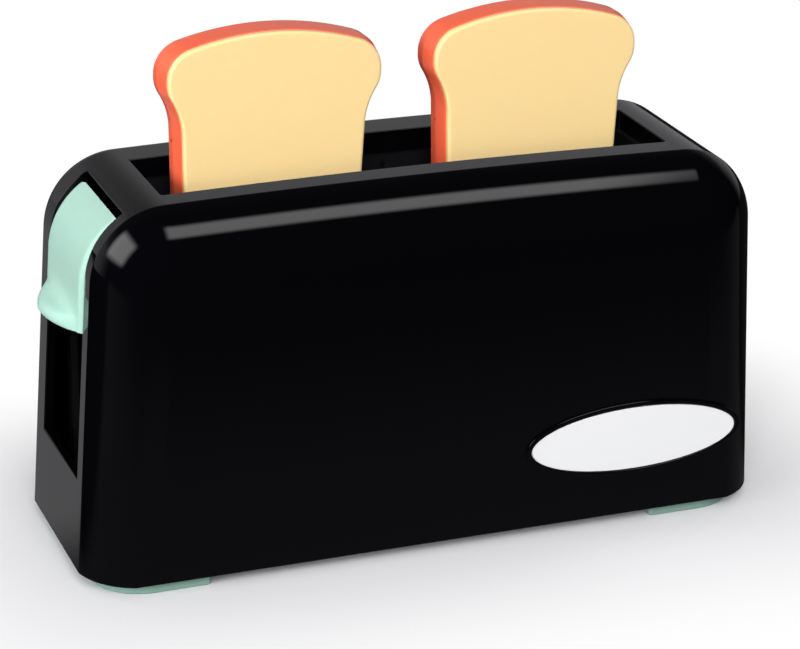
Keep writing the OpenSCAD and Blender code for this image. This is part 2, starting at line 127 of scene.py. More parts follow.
class ToasterBody(bpy.types.PropertyGroup):
    long: length("Length", "Length of the body along its bottom edge", 198*MM)
    wide: length("Width", "Width over the front and the rear face", 74*MM)
    top: length("Height", "Height of the top above the floor", 106.4*MM)
    foot: length("Foot height", "Height of the bottom edge above the floor", 4*MM)
    wall: length("Wall", "Wall of the moulded housing", 2.4*MM)
    draft: angle("End slope", "Slope of the two ends, which spread towards the bottom", 3.4)
    corner: length("Corner radius", "Radius of the two top corners", 21*MM)
    edge: length("Edge radius", "Radius that rolls the front into the top and the ends", 18.4*MM)
    front_line: length("Front line", "Distance of the front crisp line from the middle", 22.4*MM)
    rear_line: length("Rear line", "Distance of the rear crisp line from the middle", 24.8*MM)
    right_out: length("Right end", "How much longer the right half is than the left", 0.8*MM)
    crown: length("Crown radius", "Radius of the slight crown along the top", 2.8)
    crease: length("Crease rounding", "Rounding of the crisp line beside the band", 0.35*MM)
    skirt: length("Bevel height", "Height of the bevel along the bottom of each face", 5.5*MM)
    skirt_in: length("Bevel depth", "Depth of that bevel", 1*MM)
    open_long: length("Opening length", "Length of the bread opening", 145*MM)
    open_wide: length("Opening width", "Width of the bread opening", 29.6*MM)
    lip: length("Lip", "Depth of the lip that hangs from the opening", 6.4*MM)
    slot_wide: length("Slot width", "Width of the lever's slot", 34.8*MM)
    slot_low: length("Slot bottom", "Height of the bottom of the lever's slot", 29*MM)
    bridge: length("Bridge", "Length of roof between the slot and the opening", 11.1*MM)
    margin: length("Margin", "Width of the ring of faces inside a rolled edge", 0.6*MM)
    lip_corner: length("Lip corners", "Radius of the lip's four upright corners", 0.8*MM)
    rim_soft: length("Rim rounding", "Rounding of the rim of the bread opening", 0.35*MM)
    jamb_soft: length("Slot rounding", "Rounding of the rim of the lever's slot", 1.2*MM)


class ToasterLever(bpy.types.PropertyGroup):
    wide: length("Width", "Width of the lever", 34.2*MM)
    thick: length("Thickness", "Thickness of the lever", 3.2*MM)
    proud: length("Proud", "How far the lever stands out of the end of the body", 1*MM)
    side: length("Side rounding", "Rounding of the two long sides", 2.2*MM)
    tab_out: length("Tab reach", "How far the thumb tab stands out at its middle", 5.9*MM)
    raised: length("Raised", "Height of the lower edge above the frame's lever", 0.8*MM)
    gap: length("Top gap", "Gap between the lever and the top of its slot", 1.4*MM)
    round: length("Corner rounding", "Rounding of the rear corner at the lever's top end", 4.5*MM)
    sink: length("Sink", "How far the lever's arc lies below the body's corner", 2.2*MM)


class ToasterBread(bpy.types.PropertyGroup):
    tall: length("Height", "Height of a slice", 61.1*MM)
    wide: length("Width", "Width of a slice at its straight sides", 51.4*MM)
    lobes: length("Lobe width", "Width of a slice over its two lobes", 59.8*MM)
    taper: length("Taper", "Narrowing of each side down to the bottom", 1.1*MM)
    lobe: length("Lobe radius", "Radius of the two upper lobes", 9*MM)
    rise: length("Lobe depth", "Distance of the lobes' middles below the top", 12.2*MM)
    flank: length("Lobe flank", "Straight part at the side of each lobe", 0.8*MM)
    crumb: length("Crumb", "Thickness of the crumb plate that shows", 1.7*MM)
    inset: length("Crumb inset", "Step from the outline in to the crumb's", 0.3*MM)
    round: length("Crumb rounding", "Rounding of the crumb plate's front edge", 0.9*MM)
    parting: length("Parting line", "Distance from the back to the line round the crust", 4.3*MM)
    belly: length("Crust belly", "How far the crust's sides stand out at its parting line", 1*MM)
    front_edge: length("Front edge", "Rounding of the crust's edge behind the crumb", 0.5*MM)
    back_edge: length("Back edge", "Rounding of the crust's edge at the back", 0.9*MM)
    margin: length("Margin", "Width of the ring of faces inside a rounded edge", 1*MM)
    heel: length("Bottom corners", "Radius of the two bottom corners", 2.5*MM)
    neck: length("Neck radius", "Radius of the hollow under each lobe", 20*MM)
    gate: length("Gate mark", "Diameter of the gate mark on the parting line", 0.9*MM)
    left_gate: length("Left gate", "Height of the left slice's gate mark", 114*MM)
    right_gate: length("Right gate", "Height of the right slice's gate mark", 113*MM)
    apart: length("Left shift", "How far the left slice stands left of its seat's middle", 1.1*MM)
    right_apart: length("Right shift", "The same for the right slice", 0.35*MM)
    lean: angle("Lean", "Lean of the left slice to the right, three times the right slice's", 1.1)


class ToasterFeet(bpy.types.PropertyGroup):
    corner: length("Outer corners", "Radius of the two corners at the end of the body", 14.4*MM)
    inner: length("Inner corners", "Radius of the two corners under the body", 1*MM)
    sole: length("Sole", "Bevel round the sole", 0.5*MM)
    sunk: length("Seat", "How far a foot reaches up into the body", 0.6*MM)


class ToasterBadge(bpy.types.PropertyGroup):
    long: length("Length", "Length of the bare oval plate", 62.4*MM)
    tall: length("Height", "Height of the oval plate", 18.8*MM)
    rim: length("Rim", "Width of the raised rim round the plate", 1.5*MM)
    proud: length("Rim height", "How far the rim stands out of the face", 0.8*MM)
    sunk: length("Plate depth", "How far the plate lies behind the rim's front", 0.3*MM)
    thick: length("Plate thickness", "Thickness of the plate", 0.9*MM)
    play: length("Play", "Gap between the plate and its rim", 0.15*MM)
    root: length("Root", "How far the rim reaches behind the face", 3*MM)
    rim_round: length("Rim rounding", "Rounding of the rim's front edges", 0.45*MM)
    edge: length("Plate edge", "Rounding of the plate's front edge", 0.3*MM)
    x: length("Place", "Middle of the plate along the body", 56.7*MM)
    z: length("Level", "Middle of the plate above the floor", 27.5*MM)


class ToasterSpring(bpy.types.PropertyGroup):
    wire: length("Wire", "Diameter of the wire", 1.1*MM)
    coil: length("Coil", "Diameter of a turn at the middle of the wire", 11*MM)
    turns: count("Turns", "Number of turns", 11)
    travel: length("Travel", "How much shorter the spring is with the lever down", 39*MM)


class ToasterFinish(bpy.types.PropertyGroup):
    black: colour("Black", "Gloss black of the housing", (0.0012, 0.0012, 0.0018))
    inner: colour("Inner black", "Satin black of the inner mouldings", (0.006, 0.006, 0.007))
    mint: colour("Mint", "Mint of the lever and the feet", (0.405, 0.65, 0.55))
    cream: colour("Cream", "Cream of the crumb", (0.93, 0.685, 0.325))
    coral: colour("Coral", "Coral of the crust", (0.97, 0.15, 0.07))
    silver: colour("Silver", "Paint of the badge plate", (0.88, 0.88, 0.885))
    steel: colour("Steel", "Screws and spring", (0.55, 0.56, 0.58))
    shoe: colour("Shoes", "Guide shoes", (0.7, 0.7, 0.66))


class ToasterStage(bpy.types.PropertyGroup):
    azimuth: angle("Azimuth", "Camera's turn round the toaster", -21.535)
    elevation: angle("Elevation", "Camera's angle above the floor", 22.086)
    roll: angle("Roll", "Camera's lean", 1.236)
    lens: FloatProperty(name="Lens", description="Focal length in millimetres", default=126.8)
    eye: FloatVectorProperty(name="Camera place", description="Place of the camera", size=3,
                             default=(-0.26693, -0.67806, 0.35005), subtype="TRANSLATION")
    floor: length("Floor size", "Side of the floor", 6)
    shade_long: length("Shade length", "Half length of the floor that keeps its full shade", 95*MM)
    shade_wide: length("Shade width", "Half width of the floor that keeps its full shade", 30*MM)
    fade: length("Fade", "Distance over which the floor turns white outside that", 85*MM)


def top_corner(s):
    """Middle of the body's top corner arcs, and half the angle of the crown between them."""
    corner_x = s.long/2 - s.corner/math.cos(s.draft) - (s.top - s.corner - s.foot)*math.tan(s.draft)
    crown = math.asin(corner_x/(s.crown - s.corner))
    corner_z = s.top - s.crown + (s.crown - s.corner)*math.cos(crown)
    return corner_x, corner_z, crown


# Editing helpers

def fresh():
    """Object mode with nothing selected."""
    if bpy.context.object and bpy.context.object.mode != "OBJECT":
        bpy.ops.object.mode_set(mode="OBJECT")
    bpy.ops.object.select_all(action="DESELECT")


def choose(piece):
    """Makes one piece the only one selected."""
    fresh()
    piece.select_set(True)
    bpy.context.view_layer.objects.active = piece


def edit():
    """Edit mode on the active piece."""
    bpy.ops.object.mode_set(mode="EDIT")


def settle():
    """Moves the active object's place, turn and size into its mesh."""
    bpy.ops.object.transform_apply(location=True, rotation=True, scale=True)


def pick(kind, test):
    """Selects the edited mesh's edges or faces that pass a test, and counts them."""
    mesh = bpy.context.object.data
    bpy.ops.mesh.select_mode(type=kind)
    bpy.ops.mesh.select_all(action="DESELECT")
    shape = bmesh.from_edit_mesh(mesh)
    found = 0
    for item in {"EDGE": shape.edges, "FACE": shape.faces}[kind]:
        if test(item):
            item.select_set(True)
            found += 1
    shape.select_flush_mode()
    bmesh.update_edit_mesh(mesh)
    return found


def middle(item):
    """Mean place of an edge's or a face's corners."""
    return sum((v.co for v in item.verts), Vector())/len(item.verts)


def start_point(name, place):
    """New piece at the origin, in edit mode, with one vertex at a place."""
    fresh()
    bpy.ops.mesh.primitive_plane_add(size=MM)
    piece = bpy.context.object
    piece.name = piece.data.name = name
    edit()
    bpy.ops.mesh.select_mode(type="VERT")
    bpy.ops.mesh.select_all(action="SELECT")
    bpy.ops.mesh.merge(type="CENTER")
    bpy.ops.transform.translate(value=place)
    return piece


def go(x=0.0, y=0.0, z=0.0):
    """Extrudes what is selected by a step."""
    bpy.ops.mesh.extrude_region_move(TRANSFORM_OT_translate={"value": (x, y, z)})


def turn(centre, degrees, steps, axis=(0, 1, 0)):
    """Spins what is selected about an axis. About +Y, -X turns up to +Z."""
    bpy.ops.mesh.spin(steps=steps, angle=-math.radians(degrees), center=centre, axis=axis)


def close_face():
    """Merges the ends of a closed outline and fills it."""
    bpy.ops.mesh.select_all(action="SELECT")
    bpy.ops.mesh.remove_doubles(threshold=CLOSE)
    bpy.ops.mesh.select_all(action="SELECT")
    bpy.ops.mesh.edge_face_add()


def outward():
    """Merges doubles and turns all faces outwards."""
    bpy.ops.mesh.select_all(action="SELECT")
    bpy.ops.mesh.remove_doubles(threshold=WELD)
    bpy.ops.mesh.normals_make_consistent(inside=False)


def roll_edge(radius, steps, first=0.0):
    """Insets the selected face in steps that make a rolled edge, from a first angle to 90."""
    angles = [math.radians(first + (90 - first)*i/steps) for i in range(steps + 1)]
    for a, b in zip(angles, angles[1:]):
        bpy.ops.mesh.inset(thickness=radius*(math.cos(a) - math.cos(b)),
                           depth=radius*(math.sin(b) - math.sin(a)))


def apply(piece, kind, **values):
    """Adds a modifier with its values and applies it."""
    choose(piece)
    modifier = piece.modifiers.new(kind.lower(), kind)
    for key, value in values.items():
        setattr(modifier, key, value)
    bpy.ops.object.modifier_apply(modifier=modifier.name)


def smooth(piece, degrees=40):
    """Smooth shading, broken at edges sharper than an angle, with flat faces kept flat."""
    choose(piece)
    settle()
    bpy.ops.object.shade_smooth_by_angle(angle=math.radians(degrees))
    apply(piece, "WEIGHTED_NORMAL", mode="FACE_AREA", weight=50, keep_sharp=True)


def finish_piece(piece, body, material, replaces=()):
    """Gives a piece its material and its body, and hides the frame's nodes it stands for."""
    piece.data.materials.clear()
    piece.data.materials.append(material)
    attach(piece, body)
    if replaces:
        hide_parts(*replaces)


# Materials

def add(tree, kind, sockets=(), **settings):
    """Adds a node to a tree, with its settings and the values on its sockets."""
    node = tree.nodes.new(kind)
    for key, value in settings.items():
        setattr(node, key, value)
    for label, value in dict(sockets).items():
        node.inputs[label].default_value = value
    return node


def feed(tree, value, socket):
    """Links a node's output to a socket, or puts a number on it."""
    if isinstance(value, bpy.types.NodeSocket):
        tree.links.new(value, socket)
    else:
        socket.default_value = value


def maths(tree, operation, *values):
    """Output of a maths node that is fed with outputs or numbers."""
    step = add(tree, "ShaderNodeMath", operation=operation)
    for value, socket in zip(values, step.inputs):
        feed(tree, value, socket)
    return step.outputs[0]


def ramp(tree, source, start, end, before=0, after=1):
    """Smooth step from one value to another while the source goes from start to end."""
    step = add(tree, "ShaderNodeMapRange", interpolation_type="SMOOTHSTEP")
    for label, value in (("Value", source), ("From Min", start), ("From Max", end),
                         ("To Min", before), ("To Max", after)):
        feed(tree, value, step.inputs[label])
    return step.outputs["Result"]


def node_group(name, inputs, outputs):
    """New shader group with its sockets, and its two end nodes."""
    group = bpy.data.node_groups.new(name, "ShaderNodeTree")
    for label, kind, default in inputs:
        socket = group.interface.new_socket(name=label, in_out="INPUT", socket_type=kind)
        if default is not None:
            socket.default_value = default
    for label, kind in outputs:
        group.interface.new_socket(name=label, in_out="OUTPUT", socket_type=kind)
    return group, group.nodes.new("NodeGroupInput"), group.nodes.new("NodeGroupOutput")


def moulded_group():
    """Fine waviness and grain of a moulded surface, and a broad cloud for its tint."""
    name = "Moulded surface"
    if name in bpy.data.node_groups:
        return bpy.data.node_groups[name]
    group, enter, leave = node_group(
        name,
        [("Vector", "NodeSocketVector", None), ("Wave", "NodeSocketFloat", 0.5),
         ("Grain", "NodeSocketFloat", 0.3)],
        [("Height", "NodeSocketFloat"), ("Cloud", "NodeSocketFloat")])
    wave = add(group, "ShaderNodeTexNoise", {"Scale": 60, "Detail": 2})
    grain = add(group, "ShaderNodeTexNoise", {"Scale": 1600, "Detail": 3})
    cloud = add(group, "ShaderNodeTexNoise", {"Scale": 14, "Detail": 4})
    for texture in (wave, grain, cloud):
        group.links.new(enter.outputs["Vector"], texture.inputs["Vector"])
    height = maths(group, "ADD",
                   maths(group, "MULTIPLY", wave.outputs["Fac"], enter.outputs["Wave"]),
                   maths(group, "MULTIPLY", grain.outputs["Fac"], enter.outputs["Grain"]))
    group.links.new(height, leave.inputs["Height"])
    group.links.new(cloud.outputs["Fac"], leave.inputs["Cloud"])
    return group


def marks_group():
    """Faint rubs from handling, as a mask from 0 to 1."""
    name = "Handling marks"
    if name in bpy.data.node_groups:
        return bpy.data.node_groups[name]
    group, enter, leave = node_group(
        name, [("Vector", "NodeSocketVector", None)], [("Rubs", "NodeSocketFloat")])
    rub = add(group, "ShaderNodeTexNoise", {"Scale": 34, "Detail": 7, "Roughness": 0.68})
    mask = add(group, "ShaderNodeMapRange", {"From Min": 0.55, "From Max": 0.8})
    group.links.new(enter.outputs["Vector"], rub.inputs["Vector"])
    group.links.new(rub.outputs["Fac"], mask.inputs["Value"])
    group.links.new(mask.outputs["Result"], leave.inputs["Rubs"])
    return group


def new_material(name):
    """New material, its tree and its main shader."""
    material = bpy.data.materials.new(name)
    material.use_nodes = True
    return material, material.node_tree, material.node_tree.nodes["Principled BSDF"]


def plastic(name, base, shift, rough, wave=0.4, grain=0.2, bump=0.02, coat=0.0, scatter=0.0,
            metallic=0.0, wear=0.35):
    """Moulded plastic or paint. Base drifts towards shift, and rubs add wear to the roughness."""
    if name in bpy.data.materials:
        return bpy.data.materials[name]
    material, tree, shader = new_material(name)
    link = tree.links.new
    for label, value in (("Metallic", metallic), ("Coat Weight", coat), ("Coat Roughness", 0.03),
                         ("Subsurface Weight", scatter), ("Subsurface Scale", 1.5*MM)):
        shader.inputs[label].default_value = value
    place = add(tree, "ShaderNodeTexCoord")
    surface = add(tree, "ShaderNodeGroup", {"Wave": wave, "Grain": grain},
                  node_tree=moulded_group())
    marks = add(tree, "ShaderNodeGroup", node_tree=marks_group())
    link(place.outputs["Object"], surface.inputs["Vector"])
    link(place.outputs["Object"], marks.inputs["Vector"])
    tint = add(tree, "ShaderNodeMix", {"A": (*base, 1), "B": (*shift, 1)}, data_type="RGBA")
    link(surface.outputs["Cloud"], tint.inputs["Factor"])
    link(tint.outputs["Result"], shader.inputs["Base Color"])
    gloss = add(tree, "ShaderNodeMapRange", {"To Min": rough, "To Max": rough*(1 + wear)})
    link(marks.outputs["Rubs"], gloss.inputs["Value"])
    link(gloss.outputs["Result"], shader.inputs["Roughness"])
    relief = add(tree, "ShaderNodeBump", {"Strength": bump, "Distance": 0.2*MM})
    link(surface.outputs["Height"], relief.inputs["Height"])
    link(relief.outputs["Normal"], shader.inputs["Normal"])
    return material


def shade(base, factor):
    """Darker or lighter colour, kept below full light."""
    return tuple(min(1.0, c*factor) for c in base)


def brushed(name, base):
    """Bright metal with fine lines along X."""
    if name in bpy.data.materials:
        return bpy.data.materials[name]
    material, tree, shader = new_material(name)
    link = tree.links.new
    shader.inputs["Metallic"].default_value = 1
    place = add(tree, "ShaderNodeTexCoord")
    stretch = add(tree, "ShaderNodeMapping", {"Scale": (40, 900, 2600)})
    lines = add(tree, "ShaderNodeTexNoise", {"Scale": 1, "Detail": 5})
    link(place.outputs["Object"], stretch.inputs["Vector"])
    link(stretch.outputs["Vector"], lines.inputs["Vector"])
    tint = add(tree, "ShaderNodeMix", {"A": (*shade(base, 0.86), 1), "B": (*shade(base, 1.12), 1)},
               data_type="RGBA")
    link(lines.outputs["Fac"], tint.inputs["Factor"])
    link(tint.outputs["Result"], shader.inputs["Base Color"])
    gloss = add(tree, "ShaderNodeMapRange", {"To Min": 0.24, "To Max": 0.36})
    link(lines.outputs["Fac"], gloss.inputs["Value"])
    link(gloss.outputs["Result"], shader.inputs["Roughness"])
    relief = add(tree, "ShaderNodeBump", {"Strength": 0.06, "Distance": 0.1*MM})
    link(lines.outputs["Fac"], relief.inputs["Height"])
    link(relief.outputs["Normal"], shader.inputs["Normal"])
    return material


def finishes(scene):
    """The materials, made from the colours of the finish settings."""
    c = scene.toaster_finish
    black, inner, mint = tuple(c.black), tuple(c.inner), tuple(c.mint)
    cream, coral, silver = tuple(c.cream), tuple(c.coral), tuple(c.silver)
    return {
        "black": plastic("Gloss black plastic", black, shade(black, 1.3), 0.045, wave=0.5,
                         grain=0.05, bump=0.02),
        "inner": plastic("Satin black plastic", inner, shade(inner, 1.5), 0.3, bump=0.1),
        "mint": plastic("Mint plastic", mint, shade(mint, 0.96), 0.32, bump=0.03, scatter=0.15,
                        wear=0.1),
        # The feet get a darker copy of the mint: painted shade for the shadow under the body's
        # bottom edge.
        "foot": plastic("Mint foot plastic", shade(mint, 0.62), shade(mint, 0.58), 0.4, bump=0.03,
                        scatter=0.15, wear=0.1),
        "cream": plastic("Cream plastic", cream, shade(cream, 0.97), 0.3, bump=0.04, scatter=0.15),
        "coral": plastic("Coral plastic", coral, shade(coral, 0.92), 0.22, bump=0.04, scatter=0.1),
        "gate": plastic("Coral gate mark", shade(coral, 0.5), shade(coral, 0.42), 0.35),
        "silver": plastic("Silver paint", silver, shade(silver, 1.04), 0.35, grain=0.4, bump=0.05,
                          coat=0.4, metallic=0.05),
        "shoe": plastic("Slippery plastic", tuple(c.shoe), shade(tuple(c.shoe), 0.93), 0.4),
        "steel": brushed("Plated steel", tuple(c.steel)),
    }


# Operators

class TOASTER_OT_housing(bpy.types.Operator):
    """Moulded housing with its bread opening, its lip and the lever's slot"""
    bl_idname = "toaster.housing"
    bl_label = "Housing"

    corner_steps: count("Corner steps", "Faces round a top corner", 28)
    crown_steps: count("Crown steps", "Faces along the crown of the top", 30)
    roll_steps: count("Roll steps", "Faces across a rolled edge", 26)
    jamb_steps: count("Slot steps", "Faces across the rounding of the slot's rim", 6)

    def execute(self, context):
        s = context.scene.toaster_body
        corner_x, corner_z, crown = top_corner(s)
        roll_start = math.asin((s.front_line - s.wide/2 + s.edge)/s.edge)
        rear_edge = (s.wide/2 - s.rear_line)/(1 - math.sin(roll_start))
        start_y = -s.front_line
        # The ends are drawn down past the floor, and cut off at the bottom edge later.
        below = -30*MM
        edge_x = -corner_x - s.corner*math.cos(s.draft)
        edge_z = corner_z + s.corner*math.sin(s.draft)
        drop = edge_z - below
        sweep = 90 - math.degrees(s.draft) - math.degrees(crown)
        piece = start_point("housing_shell", (edge_x - drop*math.tan(s.draft), start_y, below))
        go(x=drop*math.tan(s.draft), z=drop)
        turn((-corner_x, start_y, corner_z), sweep, self.corner_steps)
        turn((0, start_y, s.top - s.crown), 2*math.degrees(crown), self.crown_steps)
        go(x=s.right_out)
        turn((corner_x + s.right_out, start_y, corner_z), sweep, self.corner_steps)
        go(x=drop*math.tan(s.draft), z=-drop)
        close_face()
        go(y=s.front_line + s.rear_line)
        outward()
        for side, radius in ((-1, s.edge), (1, rear_edge)):
            pick("FACE", lambda f: f.normal.y*side > FACING)
            roll_edge(radius, self.roll_steps, math.degrees(roll_start))
            bpy.ops.mesh.inset(thickness=s.margin)
        pick("EDGE", lambda e: all(abs(v.co.y + s.front_line) < TINY for v in e.verts)
             or all(abs(v.co.y - s.rear_line) < TINY for v in e.verts))
        bpy.ops.mesh.bevel(offset=s.crease, segments=SOFT)
        self.cut_skirts(s)
        self.cut_opening(s)
        self.cut_slot(s)
        bpy.ops.mesh.select_all(action="SELECT")
        bpy.ops.mesh.bisect(plane_co=(0, 0, s.foot), plane_no=(0, 0, 1), clear_inner=True)
        self.drop_lip(s)
        apply(piece, "SOLIDIFY", thickness=s.wall, offset=-1, use_even_offset=True,
              use_quality_normals=True)
        self.soften_rims(s)
        smooth(piece, degrees=35)
        finish_piece(piece, "body", finishes(context.scene)["black"], ["housing"])
        return {"FINISHED"}

    def cut_skirts(self, s):
        """Bevels the bottom of the front and the rear face."""
        for side in (-1, 1):
            bpy.ops.mesh.select_all(action="SELECT")
            bpy.ops.mesh.bisect(plane_co=(0, side*s.wide/2, s.foot + s.skirt),
                                plane_no=Vector((0, side*s.skirt, -s.skirt_in)).normalized(),
                                clear_outer=True, use_fill=True)

    def cut_opening(self, s):
        """Cuts the bread opening into the top."""
        half_x, half_y = s.open_long/2, s.open_wide/2
        lowest = s.top - 6*MM

        def on_top(face):
            return middle(face).z > lowest and self.between_lines(face, s)

        def inside(face):
            return on_top(face) and abs(middle(face).x) < half_x and abs(middle(face).y) < half_y

        for place, way in (((half_x, 0, 0), (1, 0, 0)), ((-half_x, 0, 0), (1, 0, 0)),
                           ((0, half_y, 0), (0, 1, 0)), ((0, -half_y, 0), (0, 1, 0))):
            pick("FACE", on_top)
            bpy.ops.mesh.bisect(plane_co=place, plane_no=way)
        if not pick("FACE", inside):
            raise RuntimeError("nothing to cut for the bread opening")
        bpy.ops.mesh.delete(type="FACE")

    def between_lines(self, face, s):
        """True for a face of the band between the two crisp lines."""
        return s.crease - s.front_line < middle(face).y < s.rear_line - s.crease

    def cut_slot(self, s):
        """Cuts the lever's slot into the left end and its corner."""
        end_x = -s.open_long/2 - s.bridge
        furthest = end_x + 8*MM

        def near(face):
            return middle(face).x < furthest and self.between_lines(face, s)

        def inside(face):
            m = middle(face)
            return m.x < end_x and m.z > s.slot_low and abs(m.y) < s.slot_wide/2

        for place, way in (((0, s.slot_wide/2, 0), (0, 1, 0)), ((0, -s.slot_wide/2, 0), (0, 1, 0)),
                           ((end_x, 0, 0), (1, 0, 0)), ((0, 0, s.slot_low), (0, 0, 1))):
            pick("FACE", near)
            bpy.ops.mesh.bisect(plane_co=place, plane_no=way)
        if not pick("FACE", inside):
            raise RuntimeError("nothing to cut for the lever's slot")
        bpy.ops.mesh.delete(type="FACE")

    def drop_lip(self, s):
        """Hangs the lip from the edge of the bread opening."""
        half_x, half_y = s.open_long/2 + TINY, s.open_wide/2 + TINY
        pick("EDGE", lambda e: e.is_boundary and all(
            abs(v.co.x) < half_x and abs(v.co.y) < half_y and v.co.z > s.top/2 for v in e.verts))
        go(z=-s.lip)
        bpy.ops.transform.resize(value=(1, 1, 0), center_override=(0, 0, s.top - s.lip))
        pick("EDGE", lambda e: all(abs(abs(v.co.x) - s.open_long/2) < TINY
                                   and abs(abs(v.co.y) - s.open_wide/2) < TINY for v in e.verts)
             and abs(e.verts[0].co.z - e.verts[1].co.z) > MM)
        bpy.ops.mesh.bevel(offset=s.lip_corner, segments=SOFT)

    def soften_rims(self, s):
        """Rounds the outer rims of the opening and of the slot."""
        end_x = -s.open_long/2 - s.bridge
        near, rim_depth = 0.2*MM, 1.6*MM
        sharp_angle = math.radians(60)

        def sharp(edge):
            return len(edge.link_faces) == 2 and edge.calc_face_angle(0) > sharp_angle

        def at_opening(edge):
            m = middle(edge)
            return (sharp(edge) and m.z > s.top - rim_depth and abs(m.x) < s.open_long/2 + near
                    and abs(m.y) < s.open_wide/2 + near)

        def at_slot(edge):
            m = middle(edge)
            return (sharp(edge) and m.x < end_x + near and abs(m.y) < s.slot_wide/2 + near
                    and m.z > s.slot_low - MM and self.on_outside(m, s))

        edit()
        for rim, radius, segments in ((at_opening, s.rim_soft, SOFT),
                                      (at_slot, s.jamb_soft, self.jamb_steps)):
            if not pick("EDGE", rim):
                raise RuntimeError("no rim to round")
            bpy.ops.mesh.bevel(offset=radius, segments=segments, clamp_overlap=True)
        bpy.ops.object.mode_set(mode="OBJECT")

    def on_outside(self, place, s):
        """True on the outer skin of the left end and its corner, not on its inner one."""
        corner_x, corner_z, _ = top_corner(s)
        if place.z > corner_z + s.corner*math.sin(s.draft):
            return math.hypot(place.x + corner_x, place.z - corner_z) > s.corner - s.wall/2
        return place.x < (place.z - s.foot)*math.tan(s.draft) - s.long/2 + s.wall/2


class TOASTER_OT_lever(bpy.types.Operator):
    """Lever that follows the end of the body, with its thumb tab"""
    bl_idname = "toaster.lever"
    bl_label = "Lever"

    side_steps: count("Side steps", "Faces round a long side", 5)
    tab_steps: count("Tab steps", "Faces across the tab", 30)
    arc_steps: count("Arc steps", "Faces round the corner of the body", 22)
    trim_steps: count("Trim steps", "Parts of a right angle round the trimmed corner", 10)

    def execute(self, context):
        s, body = context.scene.toaster_lever, context.scene.toaster_body
        corner_x, corner_z, _ = top_corner(body)
        lean = math.tan(body.draft)
        bottom = LEVER_BOTTOM + s.raised
        radius = body.corner + s.proud
        arc_x, arc_z = -corner_x - s.sink*lean, corner_z - s.sink
        edge_z = arc_z + radius*math.sin(body.draft)
        top_x = -body.open_long/2 - body.bridge - s.gap
        stop = math.acos((top_x - arc_x)/radius)

        piece = self.outline(s, self.face(s, body, bottom), bottom)
        z = self.raise_tab(s, body, bottom)
        go(x=(edge_z - z)*lean, z=edge_z - z)
        turn((arc_x, 0, arc_z), 180 - math.degrees(body.draft) - math.degrees(stop), self.arc_steps)
        self.close(s, bottom)
        self.round_corner(s, Vector((arc_x, 0, arc_z)), radius, stop)
        outward()
        smooth(piece, degrees=50)
        finish_piece(piece, "lift", finishes(context.scene)["mint"], ["lever"])
        return {"FINISHED"}

    def face(self, s, body, z):
        """Place of the lever's face at a height, along the sloping end of the body."""
        return -body.long/2 - s.proud + (z - body.foot)*math.tan(body.draft)

    def outline(self, s, x, z):
        """The strip's section with the tab's full curve, from the back round to the back."""
        half = s.wide/2
        chord = half - s.side
        bend = (chord**2 + s.tab_out**2)/(2*s.tab_out)
        sweep = 2*math.degrees(math.asin(chord/bend))
        piece = start_point("lever_strip", (x + s.thick, -half, z))
        go(x=s.side - s.thick)
        turn((x + s.side, -chord, z), -90, self.side_steps, (0, 0, 1))
        turn((x - s.tab_out + bend, 0, z), -sweep, self.tab_steps, (0, 0, 1))
        turn((x + s.side, chord, z), -90, self.side_steps, (0, 0, 1))
        go(x=s.thick - s.side)
        bpy.ops.mesh.select_all(action="SELECT")
        bpy.ops.mesh.remove_doubles(threshold=CLOSE)
        return piece

    def raise_tab(self, s, body, bottom):
        """Extrudes the section upwards row by row, until the tab has sunk into the strip."""
        lean = math.tan(body.draft)
        z, reach = bottom, TAB_ROWS[0][1]
        self.scale_reach(s, self.face(s, body, bottom), reach)
        for up, part in TAB_ROWS[1:]:
            step = bottom + up*MM - z
            go(x=step*lean, z=step)
            z = bottom + up*MM
            self.scale_reach(s, self.face(s, body, z), part/reach)
            reach = part
        return z

    def scale_reach(self, s, x, part):
        """Scales the top row's reach, between its rounded sides."""
        chord = s.wide/2 - s.side
        mesh = bpy.context.object.data
        shape = bmesh.from_edit_mesh(mesh)
        for vertex in [v for v in shape.verts if v.select]:
            vertex.select_set(abs(vertex.co.y) < chord - TINY)
        shape.select_flush_mode()
        bmesh.update_edit_mesh(mesh)
        bpy.ops.transform.resize(value=(part, 1, 1), center_override=(x, 0, 0))
        shape = bmesh.from_edit_mesh(mesh)
        level = max(v.co.z for v in shape.verts)
        for vertex in shape.verts:
            vertex.select_set(abs(vertex.co.z - level) < LEVEL)
        shape.select_flush_mode()
        bmesh.update_edit_mesh(mesh)

    def close(self, s, bottom):
        """Joins the two long sides with the back, then fills the two ends."""
        half = s.wide/2

        def long_side(edge):
            a, b = (v.co for v in edge.verts)
            return (edge.is_boundary and abs(abs(a.y) - half) < TINY and abs(abs(b.y) - half) < TINY
                    and abs(a.y - b.y) < TINY < abs(a.z - b.z))

        pick("EDGE", long_side)
        bpy.ops.mesh.bridge_edge_loops()
        pick("EDGE", lambda e: e.is_boundary and middle(e).z < bottom + MM)
        bpy.ops.mesh.edge_face_add()
        pick("EDGE", lambda e: e.is_boundary)
        bpy.ops.mesh.edge_face_add()
        outward()

    def round_corner(self, s, centre, radius, stop):
        """Trims the rear corner of the top end along a quarter circle."""
        along = Vector((math.sin(stop), 0, -math.cos(stop)))
        across = Vector((0, 1, 0))
        end = centre + radius*Vector((math.cos(stop), 0, math.sin(stop)))
        middle_of_round = end - s.round*along + (s.wide/2 - s.round)*across
        for i in range(1, self.trim_steps):
            bearing = math.radians(90*i/self.trim_steps)
            out = math.cos(bearing)*across + math.sin(bearing)*along
            bpy.ops.mesh.select_all(action="SELECT")
            bpy.ops.mesh.bisect(plane_co=middle_of_round + s.round*out, plane_no=out,
                                clear_outer=True, use_fill=True)


